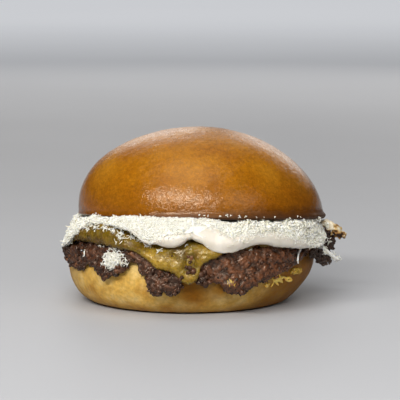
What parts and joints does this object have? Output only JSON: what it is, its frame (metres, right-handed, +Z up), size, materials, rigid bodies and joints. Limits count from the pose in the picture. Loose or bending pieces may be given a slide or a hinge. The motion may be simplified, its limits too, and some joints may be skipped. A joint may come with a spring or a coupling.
{
  "type": "smash burger",
  "caption": "Round bun burger with a thin, lacy-edged beef patty, melted cheese, cream sauce and finely grated cheese, crown tilted back a little.",
  "frame": {"origin": "middle of the bounding box's underside, on the surface the burger stands on", "axes": "+Z up through the bun, -Y towards the burger's front, +X to the right seen from the front, where the crisp flake sticks out"},
  "size_m": [0.131, 0.1286, 0.0802],
  "materials": {
    "crown_crust": "egg-washed brioche crust, golden brown, softly glossy, darker at the rim",
    "heel_crust": "pale golden bun base, matte",
    "beef": "crumbly seared beef, dark brown with blackened edges and wet glints",
    "cheese": "melted cheese, dull olive yellow, translucent and greasy",
    "cream": "thick off-white sauce, smooth",
    "gratings": "very fine dry grated cheese, off-white",
    "crisp": "cream-coloured crisp flake, browned at its tip"
  },
  "bodies": {
    "root": {"bun_heel": "heel_crust", "beef_patty": "beef", "beef_crumb": "beef", "melted_cheese": "cheese", "cream_sauce": "cream", "grated_cheese": "gratings", "grated_pile": "gratings", "crisp_flake": "crisp", "bun_crown": "crown_crust"}
  },
  "joints": []
}
